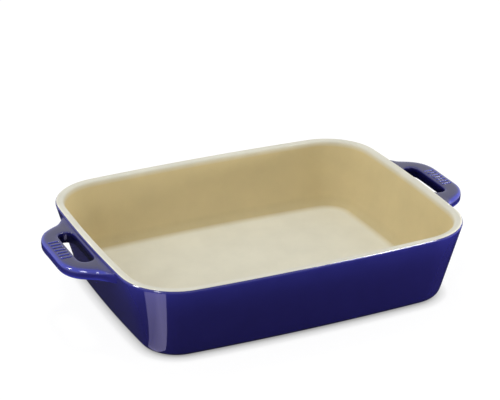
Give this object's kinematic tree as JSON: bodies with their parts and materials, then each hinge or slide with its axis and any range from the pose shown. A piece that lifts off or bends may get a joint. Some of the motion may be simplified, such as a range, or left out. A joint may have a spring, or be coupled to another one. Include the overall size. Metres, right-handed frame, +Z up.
{
  "type": "baking dish",
  "caption": "Rectangular stoneware baking dish with drafted walls, rounded corners, slotted lug handles at the short ends, deep blue glaze outside and cream glaze inside.",
  "frame": {"origin": "on the table, under the middle of the dish", "axes": "+X along the length through both handles, +Y across the width, +Z up out of the open top"},
  "size_m": [0.3294, 0.217, 0.061],
  "materials": {
    "stoneware": "bare fired stoneware, matt",
    "cream_glaze": "satin cream glaze",
    "blue_glaze": "high gloss dark blue glaze"
  },
  "bodies": {
    "root": {"stoneware_body": "stoneware", "left_handle": "stoneware", "right_handle": "stoneware", "cream_lining": "cream_glaze", "blue_wall_glaze": "blue_glaze", "blue_base_glaze": "blue_glaze", "left_handle_glaze": "blue_glaze", "right_handle_glaze": "blue_glaze"}
  },
  "joints": []
}
